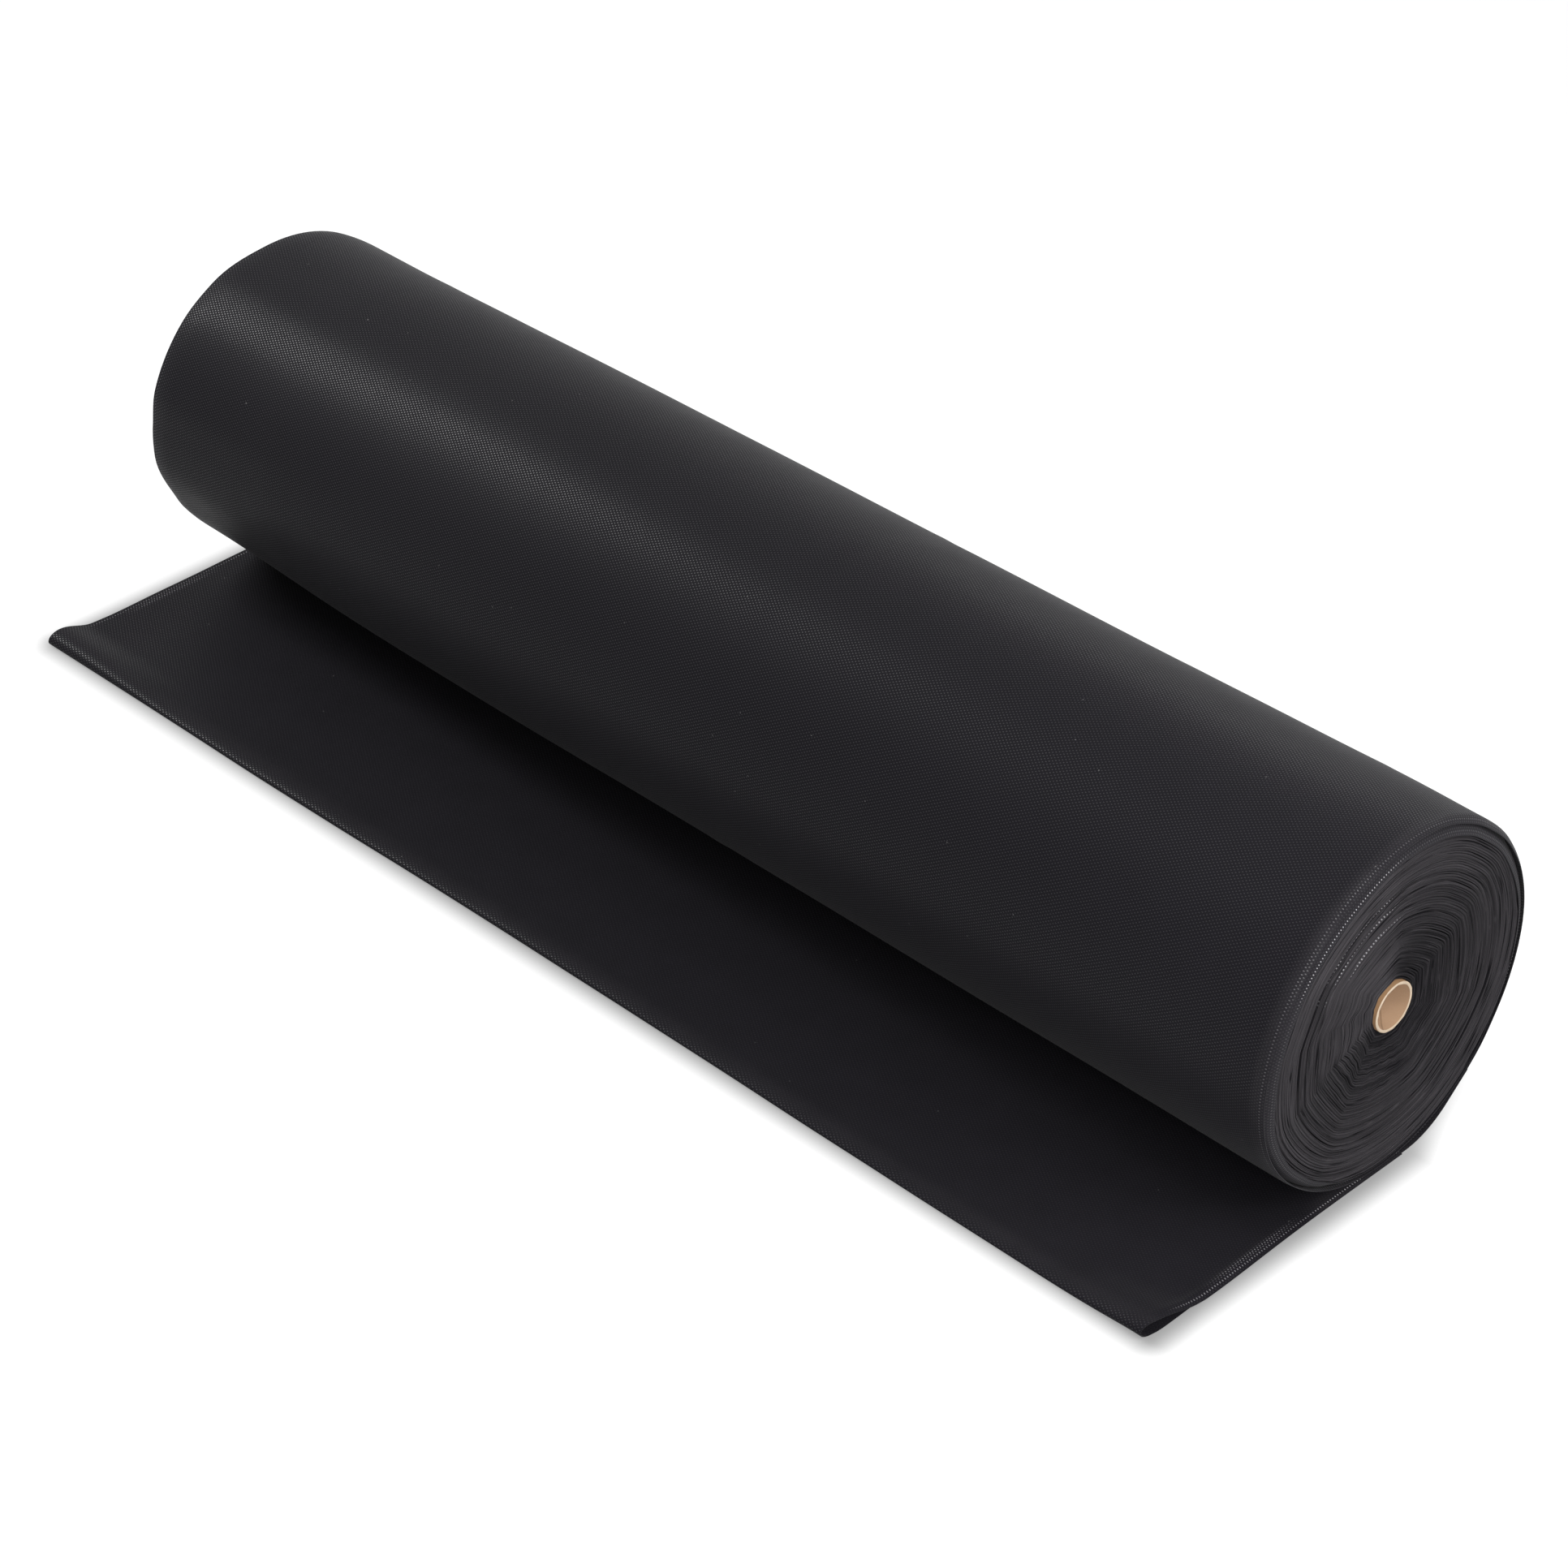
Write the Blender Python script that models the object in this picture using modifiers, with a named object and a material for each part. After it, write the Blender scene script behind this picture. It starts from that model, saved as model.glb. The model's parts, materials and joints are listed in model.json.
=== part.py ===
"""A roll of black non-woven ground sheet on a paper core, with its free end laid out.

The sheet is wound round a paper tube. Its outer end comes down the back of the roll,
runs forward under it along the floor, and is folded under at the front.
Metres, +Z up. X runs along the roll, -Y points to the free end, and the origin is in the
middle of the space that the whole thing covers, on the floor.
"""

import math

import bmesh
import bpy
import numpy as np

# Sheet
SHEET_WIDTH = 1.000
SHEET_THICKNESS = 0.0005
FIT_GAP = 0.0003

# Roll: the near end is at +X. The far end is wound a little tighter.
ROLL_DIAMETER = 0.2448
FAR_TAPER = 0.0040
TURNS = 24
STEPS_PER_TURN = 36
LOOSE_TURNS = 3
LOOSE_PITCH = 0.0016
TURN_GAP = 0.0005
LANDING_DEG = 10.0
SETTLE_DEG = 150.0
CORE_SEAT_GAP = 0.0004
POCKET_DEPTH = 0.0040
DISH_NEAR = 0.0070
DISH_FAR = 0.0050

# Crumpled turns near the core: lobes round the turn, how deep, and where each has its crest
CRUMPLE_DEPTH = 0.0018
CRUMPLE_LOBES = (3, 5, 9)
CRUMPLE_WEIGHT_SHARES = (0.5, 0.3, 0.2)
CRUMPLE_CREST_DEG = (92.0, 86.0, 90.0)
CRUMPLE_START_SHARE = 0.30
CRUMPLE_CREST_SHARE = 0.80
CRUMPLE_END_SHARE = 0.25

# Paper core: its cut ends lie a little inside the edges of the outer turns
CORE_DIAMETER = 0.034
CORE_WALL = 0.002
CORE_RECESS = 0.0030
CORE_SIDES = 48

# Free end: distances from the roll's axis to the front fold, and back from the fold
FRONT_REACH = 0.2187
END_DEPTH = 0.0515
UNDER_DEPTH = 0.034
FOLD_HEIGHT = 0.0042
FAR_CORNER_HEIGHT = 0.0088
NEAR_CORNER_HEIGHT = 0.0094
FAR_CORNER_SPREAD = 0.075
NEAR_CORNER_SPREAD = 0.040
NOSE_STEPS = 6
TOP_STEPS = 7
UNDER_STEPS = 2
CROSS_STEPS = 26

ROLL_RADIUS = ROLL_DIAMETER / 2
CORE_RADIUS = CORE_DIAMETER / 2
PACKED_RADIUS = ROLL_RADIUS - LOOSE_PITCH
AXIS_Z = SHEET_THICKNESS + FIT_GAP + PACKED_RADIUS
HALF_WIDTH = SHEET_WIDTH / 2


def smooth_step(share):
    """Rise from 0 to 1 with level ends: three squares less two cubes."""
    share = np.clip(share, 0.0, 1.0)
    return share * share * (3.0 - 2.0 * share)


def new_collection(name):
    collection = bpy.data.collections.new(name)
    bpy.context.scene.collection.children.link(collection)
    return collection


def make_material(name, colour, roughness):
    material = bpy.data.materials.new(name)
    material.use_nodes = True
    shader = material.node_tree.nodes["Principled BSDF"]
    shader.inputs["Base Color"].default_value = (*colour, 1.0)
    shader.inputs["Roughness"].default_value = roughness
    shader.inputs["Metallic"].default_value = 0.0
    return material


def grid_mesh(name, points):
    """Open surface through a grid of points, given as rows by columns by three."""
    rows, columns = points.shape[:2]
    index = np.arange(rows * columns).reshape(rows, columns)
    corners = (index[:-1, :-1], index[:-1, 1:], index[1:, 1:], index[1:, :-1])
    faces = np.stack(corners, axis=-1).reshape(-1, 4)
    mesh = bpy.data.meshes.new(name)
    mesh.from_pydata(points.reshape(-1, 3).tolist(), [], faces.tolist())
    mesh.update()
    return mesh


def add_object(name, mesh, material, collection):
    mesh.materials.append(material)
    piece = bpy.data.objects.new(name, mesh)
    collection.objects.link(piece)
    return piece


def eye_radius():
    """Where one more turn's outer skin would lie, so that the last turn seats on the core."""
    return CORE_RADIUS + CORE_SEAT_GAP - TURN_GAP


def pitch(turn):
    """How much smaller the roll is one turn further in, for a turn counted from outside.

    The outer wraps are loose and thin. The packed turns share what is left down to the eye.
    """
    packed_turns = TURNS + 1 - LOOSE_TURNS
    packed_room = PACKED_RADIUS - (LOOSE_TURNS - 1) * LOOSE_PITCH - eye_radius()
    packed_pitch = packed_room / packed_turns
    return np.where(turn < LOOSE_TURNS, LOOSE_PITCH, packed_pitch)


def spiral_angles(count):
    """Direction of each step from the roll's axis, from where the sheet lands, inwards."""
    return np.radians(LANDING_DEG - 90.0 + np.arange(count) * 360.0 / STEPS_PER_TURN)


def spiral_radii():
    """Outer radius at each step, from the outer end inwards, for one turn more than the ribbon.

    Over the first part of each turn the radius falls by one pitch, and then it stays, so the
    side that rolls on the sheet is round.
    """
    steps = np.arange((TURNS + 1) * STEPS_PER_TURN + 1)
    turn, step = np.divmod(steps, STEPS_PER_TURN)
    fall = smooth_step(step * 360.0 / STEPS_PER_TURN / SETTLE_DEG)
    before = np.concatenate([[0.0], np.cumsum(pitch(np.arange(TURNS + 2)))])
    return ROLL_RADIUS - before[turn] - fall * pitch(turn)


def roll_axis_y():
    """Place of the roll's axis that puts the origin half way from the fold to the roll's back."""
    radii = spiral_radii()
    back_reach = (radii * np.cos(spiral_angles(len(radii)))).max()
    return float(FRONT_REACH - back_reach) / 2


def crumple(share, angle):
    """Radial wave of the turns near the core: three sets of lobes, growing towards the eye."""
    grow = smooth_step((share - CRUMPLE_START_SHARE) / (CRUMPLE_CREST_SHARE - CRUMPLE_START_SHARE))
    ease = smooth_step((share - CRUMPLE_CREST_SHARE) / (1.0 - CRUMPLE_CREST_SHARE))
    depth = CRUMPLE_DEPTH * grow * (1.0 - (1.0 - CRUMPLE_END_SHARE) * ease)
    wave = np.zeros_like(angle)
    lobe_sets = zip(CRUMPLE_LOBES, CRUMPLE_WEIGHT_SHARES, CRUMPLE_CREST_DEG)
    for lobes, weight, crest_deg in lobe_sets:
        wave += weight * np.cos(lobes * (angle - math.radians(crest_deg)))
    return depth * wave


def turn_edge(radii, share, angle, near):
    """Places of one edge of the turns, seen from the roll's axis.

    The far edge lies on a smaller circle, lowered so that the roll still rests on the floor
    all along. The near edge is crumpled and opens into a pocket round the core. The wrinkled
    inner turns are drawn in at both ends, more at the near one.
    """
    if near:
        radius = radii + crumple(share, angle) + POCKET_DEPTH * share**3
        drop = np.zeros_like(radius)
        x = HALF_WIDTH - DISH_NEAR * share**2
    else:
        radius = radii - FAR_TAPER * (1.0 - share)
        drop = FAR_TAPER * (1.0 - share)
        x = -HALF_WIDTH + DISH_FAR * share**2
    return np.stack([x, radius * np.cos(angle), radius * np.sin(angle) - drop], axis=-1)


def turn_skins():
    """Outer and inner skin of the wound sheet, each steps by two edges by three.

    The inner skin of a turn is the outer skin of the next one, moved out by the gap between
    turns, so every layer fills its pitch.
    """
    radii = spiral_radii()
    share = np.clip((ROLL_RADIUS - radii) / (ROLL_RADIUS - eye_radius()), 0.0, 1.0)
    angle = spiral_angles(len(radii))
    edges = [turn_edge(radii, share, angle, near) for near in (False, True)]
    outer = np.stack(edges, axis=1)
    count = TURNS * STEPS_PER_TURN + 1
    outwards = np.stack([np.zeros_like(angle), np.cos(angle), np.sin(angle)], axis=-1)
    inner = outer[STEPS_PER_TURN:] + TURN_GAP * outwards[STEPS_PER_TURN:, None]
    inner[..., 0] = outer[:len(inner), :, 0]
    return outer[:count], inner[:count]


def least_gap(first, second, offset):
    """Least distance from the points of one curve to those of another, near an index offset."""
    gaps = []
    for shift in range(offset - 2, offset + 2):
        low, high = max(0, -shift), min(len(first), len(second) - 1 - shift)
        start = second[low + shift:high + shift]
        run = second[low + shift + 1:high + shift + 1] - start
        to_point = first[low:high] - start
        along = np.clip((to_point * run).sum(-1) / (run * run).sum(-1), 0.0, 1.0)
        gaps.append(np.linalg.norm(to_point - along[:, None] * run, axis=-1).min())
    return min(gaps)


def make_winding(material, collection, axis_y):
    """One unbroken strip, wound inwards: its outer skin is drawn in to make its thickness."""
    outer, inner = turn_skins()
    for edge, name in enumerate(("far", "near")):
        gap = least_gap(inner[:, edge, 1:], outer[:, edge, 1:], STEPS_PER_TURN)
        print(f"winding, {name} edge: least gap between turns {gap * 1000:.3f} mm")
    mesh = grid_mesh("winding", outer)
    inner_places = inner.reshape(-1, 3)
    work = bmesh.new()
    work.from_mesh(mesh)
    number = work.verts.layers.int.new("number")
    for point in work.verts:
        point[number] = point.index
    drawn = bmesh.ops.extrude_face_region(work, geom=work.faces[:], use_keep_orig=True)
    for item in drawn["geom"]:
        if isinstance(item, bmesh.types.BMVert):
            item.co = inner_places[item[number]]
    bmesh.ops.recalc_face_normals(work, faces=work.faces[:])
    work.verts.layers.int.remove(number)
    work.to_mesh(mesh)
    work.free()
    mesh.shade_smooth()
    mesh.set_sharp_from_angle(angle=math.radians(35.0))
    winding = add_object("winding", mesh, material, collection)
    winding.location = (0.0, axis_y, AXIS_Z)
    return winding


def make_core(material, collection, axis_y):
    """Paper tube: the section of its wall, turned round the roll's axis."""
    half_length = HALF_WIDTH - CORE_RECESS
    bore = CORE_RADIUS - CORE_WALL
    section = [
        (CORE_RADIUS, 0.0, half_length),
        (CORE_RADIUS, 0.0, -half_length),
        (bore, 0.0, -half_length),
        (bore, 0.0, half_length),
    ]
    sides = [(0, 1), (1, 2), (2, 3), (3, 0)]
    mesh = bpy.data.meshes.new("paper_core")
    mesh.from_pydata(section, sides, [])
    core = add_object("paper_core", mesh, material, collection)
    turned = core.modifiers.new("turned", "SCREW")
    turned.axis = "Z"
    turned.angle = math.radians(360.0)
    turned.steps = CORE_SIDES
    turned.render_steps = CORE_SIDES
    turned.use_merge_vertices = True
    turned.merge_threshold = 0.00001
    core.location = (0.0, axis_y, AXIS_Z)
    core.rotation_euler = (0.0, math.radians(90.0), 0.0)
    return core


def make_laid_sheet(material, collection, axis_y, hinge_y):
    """The flat stretch on the floor, from where the sheet leaves the roll to the free end."""
    back = axis_y + ROLL_RADIUS * math.sin(math.radians(LANDING_DEG))
    front = hinge_y + FIT_GAP / 2
    bpy.ops.mesh.primitive_cube_add(size=1.0)
    sheet = bpy.context.object
    sheet.name = "laid_sheet"
    sheet.data.name = "laid_sheet"
    for point in sheet.data.vertices:
        point.co.x *= SHEET_WIDTH
        point.co.y *= back - front
        point.co.z *= SHEET_THICKNESS
    sheet.location = (0.0, (back + front) / 2, SHEET_THICKNESS / 2)
    sheet.data.materials.append(material)
    for home in list(sheet.users_collection):
        home.objects.unlink(sheet)
    collection.objects.link(sheet)
    return sheet


def fold_heights(x):
    """Height of the fold's loop across the sheet: low in the middle, open at both corners."""
    far = np.exp(-(((x + HALF_WIDTH) / FAR_CORNER_SPREAD) ** 2))
    near = np.exp(-(((x - HALF_WIDTH) / NEAR_CORNER_SPREAD) ** 2))
    far_rise = (FAR_CORNER_HEIGHT - FOLD_HEIGHT) * far
    near_rise = (NEAR_CORNER_HEIGHT - FOLD_HEIGHT) * near
    return FOLD_HEIGHT + far_rise + near_rise


def fold_section(height):
    """Middle line of the folded end, back from the fold and up from the floor.

    The top ply rises from the hinge line to the fold's height, turns over in a half circle,
    and the under ply comes back flat along the floor.
    """
    nose = (height - SHEET_THICKNESS) / 2
    centre = nose + SHEET_THICKNESS / 2
    floor = SHEET_THICKNESS / 2
    share = np.linspace(0.0, 1.0, TOP_STEPS + 1)
    top_back = END_DEPTH - FIT_GAP / 2 - share * (END_DEPTH - FIT_GAP / 2 - centre)
    top_up = floor + 2 * nose * smooth_step(share)
    turn = np.linspace(0.0, math.pi, NOSE_STEPS + 1)[1:]
    nose_back = centre - nose * np.sin(turn)
    nose_up = floor + nose + nose * np.cos(turn)
    under_back = np.linspace(centre, UNDER_DEPTH, UNDER_STEPS + 1)[1:]
    under_up = np.full_like(under_back, floor)
    back = np.concatenate([top_back, nose_back, under_back])
    up = np.concatenate([top_up, nose_up, under_up])
    return back, up


def make_folded_end(material, collection, hinge_y):
    """The free end: an open surface over the fold, given the sheet's thickness."""
    share = np.linspace(-1.0, 1.0, CROSS_STEPS + 1)
    x = HALF_WIDTH * np.sin(share * math.pi / 2)
    rows = []
    for place, height in zip(x, fold_heights(x)):
        back, up = fold_section(height)
        y = back - END_DEPTH
        z = up - SHEET_THICKNESS
        rows.append(np.stack([np.full_like(back, place), y, z], axis=-1))
    points = np.stack(rows)
    under = points[:, -UNDER_STEPS - 1:, 2].max() + SHEET_THICKNESS / 2
    inner_y = UNDER_DEPTH - END_DEPTH
    over = [np.interp(-inner_y, -row[:TOP_STEPS + 1, 1], row[:TOP_STEPS + 1, 2]) for row in points]
    gap = min(over) - SHEET_THICKNESS / 2 - under
    print(f"folded end: least gap between its plies {gap * 1000:.3f} mm")
    mesh = grid_mesh("folded_end", points)
    mesh.shade_smooth()
    folded = add_object("folded_end", mesh, material, collection)
    thickness = folded.modifiers.new("thickness", "SOLIDIFY")
    thickness.thickness = SHEET_THICKNESS
    thickness.offset = 0.0
    thickness.use_even_offset = True
    folded.location = (0.0, hinge_y, SHEET_THICKNESS)
    return folded


def main():
    for item in list(bpy.data.objects):
        bpy.data.objects.remove(item, do_unlink=True)
    parts = new_collection("roll_of_black_sheet")
    black_sheet = make_material("black_sheet", (0.020, 0.018, 0.021), 0.75)
    wound_sheet = make_material("wound_sheet", (0.028, 0.026, 0.029), 0.80)
    brown_paper = make_material("brown_paper", (0.48, 0.29, 0.16), 0.85)
    axis_y = roll_axis_y()
    hinge_y = axis_y - FRONT_REACH + END_DEPTH
    make_core(brown_paper, parts, axis_y)
    make_winding(wound_sheet, parts, axis_y)
    make_laid_sheet(black_sheet, parts, axis_y, hinge_y)
    make_folded_end(black_sheet, parts, hinge_y)


main()
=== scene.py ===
"""Looks of a roll of black non-woven ground sheet on a paper core, with its free end laid out.

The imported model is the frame: metres, +Z up, X along the roll, -Y towards the free end.
"""

import json
import math

import bpy
import numpy as np
from mathutils import Matrix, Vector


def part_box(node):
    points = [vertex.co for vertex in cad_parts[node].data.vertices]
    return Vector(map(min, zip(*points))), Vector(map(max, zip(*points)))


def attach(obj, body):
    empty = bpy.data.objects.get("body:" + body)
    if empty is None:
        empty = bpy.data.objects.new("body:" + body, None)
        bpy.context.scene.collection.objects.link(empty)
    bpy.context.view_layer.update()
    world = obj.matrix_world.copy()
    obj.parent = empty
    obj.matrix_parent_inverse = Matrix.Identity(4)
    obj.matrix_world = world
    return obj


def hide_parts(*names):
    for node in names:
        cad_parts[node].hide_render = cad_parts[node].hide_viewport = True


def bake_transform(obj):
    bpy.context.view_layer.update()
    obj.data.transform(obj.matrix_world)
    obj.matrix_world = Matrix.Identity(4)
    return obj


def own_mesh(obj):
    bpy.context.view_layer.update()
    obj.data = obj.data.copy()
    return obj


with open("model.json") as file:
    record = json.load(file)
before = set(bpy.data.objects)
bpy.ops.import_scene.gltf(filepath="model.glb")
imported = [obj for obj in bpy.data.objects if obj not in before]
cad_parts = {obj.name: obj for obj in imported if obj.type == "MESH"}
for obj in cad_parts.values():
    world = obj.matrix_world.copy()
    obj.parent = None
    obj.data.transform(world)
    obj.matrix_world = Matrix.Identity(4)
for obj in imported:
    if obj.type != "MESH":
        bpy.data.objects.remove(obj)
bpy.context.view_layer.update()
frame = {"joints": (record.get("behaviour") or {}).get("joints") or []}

# Camera
# The photograph is taken from the near end, above the free end, with a long lens that is
# turned a little clockwise. The focal length is counted in pixels of the square picture.
PICTURE_PX = 1932
FOCAL_PX = 5744.3
SENSOR_MM = 36.0
CAMERA_PLACE = (1.72496, -1.76541, 1.79698)
CAMERA_AZIMUTH = math.radians(43.58)
CAMERA_ELEVATION = math.radians(35.24)
CAMERA_ROLL = math.radians(1.47)


def camera_matrix(place, azimuth, elevation, roll):
    """Place and turn of a camera: its right, up and back directions are the columns.

    Back points from the scene to the camera. Right is level and square to it, up is back
    crossed with right, and the roll then turns right towards up.
    """
    back = np.array([
        math.sin(azimuth) * math.cos(elevation),
        -math.cos(azimuth) * math.cos(elevation),
        math.sin(elevation),
    ])
    level = np.array([math.cos(azimuth), math.sin(azimuth), 0.0])
    raised = np.cross(back, level)
    right = math.cos(roll) * level + math.sin(roll) * raised
    up = math.cos(roll) * raised - math.sin(roll) * level
    matrix = np.eye(4)
    matrix[:3, :4] = np.stack([right, up, back, place], axis=-1)
    return Matrix(matrix.tolist())


camera = bpy.data.objects.new("camera", bpy.data.cameras.new("camera"))
camera.data.sensor_width = SENSOR_MM
camera.data.lens = FOCAL_PX * SENSOR_MM / PICTURE_PX
camera.matrix_world = camera_matrix(CAMERA_PLACE, CAMERA_AZIMUTH, CAMERA_ELEVATION, CAMERA_ROLL)
bpy.context.scene.collection.objects.link(camera)
bpy.context.scene.camera = camera

# Paper core
# A tube of brown paper wound in a screw line and glued. Its cut ends show the pale layers,
# and its bore is left open for a bar. Both ends lie a little inside the edges of the outer turns.
core_low, core_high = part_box("paper_core")
AXIS_Y = (core_low.y + core_high.y) / 2
AXIS_Z = (core_low.z + core_high.z) / 2
CORE_RADIUS = (core_high.z - core_low.z) / 2
CORE_HALF_LENGTH = core_high.x
CORE_WALL = 0.0020
CORE_EDGE = 0.0003
CORE_STEPS = 144
CORE_RAGGED = 0.00022
CORE_RAGGED_GAP = 0.22
CORE_SEAM_BLEND = 0.3
CORE_SEAM_PITCH = 0.085
CORE_SEAM_WIDTH = 0.0012
CORE_OUTSIDE = (0.26, 0.148, 0.072)
CORE_INSIDE = (0.41, 0.27, 0.172)
CORE_RIM = (0.70, 0.60, 0.47)
CORE_RIM_GLUE = (0.50, 0.34, 0.21)
CORE_LAYER = 0.0005
CORE_STAIN = (0.22, 0.13, 0.07)
CORE_SEAM_COLOUR = (0.12, 0.07, 0.035)
SHARP_ANGLE = math.radians(60.0)


class Shade:
    """One output of a shader node. Python arithmetic on it adds Math nodes to its tree."""

    def __init__(self, tree, socket=None):
        self.tree = tree
        self.socket = socket

    def node(self, kind, settings=None, sockets=None, output=0):
        """A new node: its settings are set first, then its sockets get values or links."""
        made = self.tree.nodes.new(kind)
        for name, value in (settings or {}).items():
            setattr(made, name, value)
        for name, value in (sockets or {}).items():
            if isinstance(value, Shade):
                self.tree.links.new(value.socket, made.inputs[name])
            else:
                made.inputs[name].default_value = value
        return Shade(self.tree, made.outputs[output] if made.outputs else None)

    def math(self, operation, *values):
        """A Math node on these values, in this order."""
        return self.node("ShaderNodeMath", {"operation": operation}, dict(enumerate(values)))

    def __add__(self, other):
        return self.math("ADD", self, other)

    def __radd__(self, other):
        return self.math("ADD", other, self)

    def __sub__(self, other):
        return self.math("SUBTRACT", self, other)

    def __rsub__(self, other):
        return self.math("SUBTRACT", other, self)

    def __mul__(self, other):
        return self.math("MULTIPLY", self, other)

    def __rmul__(self, other):
        return self.math("MULTIPLY", other, self)

    def __truediv__(self, other):
        return self.math("DIVIDE", self, other)

    def __pow__(self, other):
        return self.math("POWER", self, other)

    def cosine(self):
        return self.math("COSINE", self)

    def fraction(self):
        return self.math("FRACT", self)

    def size(self):
        return self.math("ABSOLUTE", self)

    def larger(self, other):
        """The larger of this and another value at each place."""
        return self.math("MAXIMUM", self, other)

    def rise(self, low, high):
        """Smooth step from 0 at low to 1 at high."""
        sockets = {"Value": self, "From Min": low, "From Max": high}
        return self.node("ShaderNodeMapRange", {"interpolation_type": "SMOOTHSTEP"}, sockets)

    def split(self):
        """The three parts of a vector."""
        parts = self.tree.nodes.new("ShaderNodeSeparateXYZ")
        self.tree.links.new(self.socket, parts.inputs[0])
        return [Shade(self.tree, output) for output in parts.outputs]

    def stretch(self, scale):
        """A vector times a scale, part by part."""
        return self.node("ShaderNodeVectorMath", {"operation": "MULTIPLY"}, {0: self, 1: scale})

    def noise(self, scale, detail=2.0):
        """Noise from 0 to 1 at the place that this vector gives."""
        sockets = {"Vector": self, "Scale": scale, "Detail": detail}
        return self.node("ShaderNodeTexNoise", None, sockets)

    def blend(self, first, second):
        """Colour mix: the first colour where this is 0, the second where it is 1."""
        sockets = {0: self, 6: as_colour(first), 7: as_colour(second)}
        return self.node("ShaderNodeMix", {"data_type": "RGBA"}, sockets, output=2)

    def bump(self, distance, strength=1.0):
        """A surface normal for this height, in units of the distance."""
        sockets = {"Height": self, "Distance": distance, "Strength": strength}
        return self.node("ShaderNodeBump", None, sockets)


def as_colour(value):
    """A colour with its alpha, or a shade as it is."""
    return value if isinstance(value, Shade) else (*value, 1.0)


def new_finish(name):
    """A material with its tree ready for a Shade, and its Principled shader."""
    material = bpy.data.materials.new(name)
    material.use_nodes = True
    shader = material.node_tree.nodes["Principled BSDF"]
    return material, Shade(material.node_tree), shader


def connect(shader, **finish):
    """Values or shades to the shader's sockets, named with _ for a space."""
    for name, value in finish.items():
        socket = shader.inputs[name.replace("_", " ")]
        if isinstance(value, Shade):
            value.tree.links.new(value.socket, socket)
        else:
            socket.default_value = value


def smooth_step(share):
    """Rise from 0 to 1 with level ends: three squares less two cubes."""
    share = np.clip(share, 0.0, 1.0)
    return share * share * (3.0 - 2.0 * share)


def wander(place, knot_gap, seed):
    """Smooth random line from -1 to 1: a seeded value at each knot, smooth steps between."""
    place = place / knot_gap
    knots = np.random.default_rng(seed).uniform(-1.0, 1.0, int(place.max()) + 3)
    knot = np.floor(place).astype(int)
    return knots[knot] + (knots[knot + 1] - knots[knot]) * smooth_step(place - knot)


def surface(name, points, places):
    """Closed mesh through rings of points, given as rings by points by three.

    The two end rings are filled with strips, from each point to its opposite in the ring.
    places holds, for each point, its metres along and across the sheet, and goes into the UV
    map "sheet". It has one column more than points, for the seam of the rings.
    """
    rows, columns = points.shape[:2]
    number = np.arange(rows * columns).reshape(rows, columns)
    number = np.concatenate([number, number[:, :1]], axis=1)
    spot = np.arange(places.shape[0] * places.shape[1]).reshape(places.shape[:2])

    def corners(grid):
        around = (grid[:-1, :-1], grid[:-1, 1:], grid[1:, 1:], grid[1:, :-1])
        return np.stack(around, axis=-1).reshape(-1, 4)

    def strip(ring):
        here = ring[:columns // 2]
        there = ring[columns // 2:columns][::-1]
        return np.stack([here[:-1], here[1:], there[1:], there[:-1]], axis=-1)

    def all_faces(grid):
        return np.concatenate([corners(grid), strip(grid[0])[:, ::-1], strip(grid[-1])])

    mesh = bpy.data.meshes.new(name)
    mesh.from_pydata(points.reshape(-1, 3).tolist(), [], all_faces(number).tolist())
    layer = mesh.uv_layers.new(name="sheet")
    loops = all_faces(spot).reshape(-1)
    layer.data.foreach_set("uv", places.reshape(-1, 2)[loops].astype(np.float32).reshape(-1))
    mesh.update()
    mesh.set_sharp_from_angle(angle=SHARP_ANGLE)
    return mesh


def new_piece(mesh, finish):
    """An object of this mesh and material at the origin."""
    mesh.materials.append(finish)
    piece = bpy.data.objects.new(mesh.name, mesh)
    bpy.context.scene.collection.objects.link(piece)
    return piece


def core_mesh():
    """The wall's section at each step round the axis, with its first and last step joined.

    The section runs along the bore and back along the outside, with a small round at each of
    its four corners. The cut rims are a little ragged: their x moves by a smooth random line.
    """
    bore = CORE_RADIUS - CORE_WALL
    end = CORE_HALF_LENGTH
    edge = CORE_EDGE
    x = np.array([end / 3, end - edge, end, end, end - edge, end / 3])
    radius = np.array([bore, bore, bore + edge, CORE_RADIUS - edge, CORE_RADIUS, CORE_RADIUS])
    x = np.concatenate([x, -x[::-1]])
    radius = np.concatenate([radius, radius[::-1]])
    angle = np.linspace(0.0, 2 * math.pi, CORE_STEPS + 1)[:, None]
    seam = np.minimum(angle, 2 * math.pi - angle)
    ragged = 1.0 + wander(angle + math.pi, CORE_RAGGED_GAP, 3) * smooth_step(seam / CORE_SEAM_BLEND)
    at_rim = np.abs(x) >= end - edge
    x = x - at_rim * np.sign(x) * CORE_RAGGED * ragged
    y = AXIS_Y + radius * np.cos(angle)
    z = AXIS_Z + radius * np.sin(angle)
    points = np.stack([x, y, z], axis=-1)
    places = np.stack([x + 0 * angle, CORE_RADIUS * angle + 0 * x], axis=-1)
    return surface("core_tube", points, np.concatenate([places, places[:, :1]], axis=1))


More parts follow.
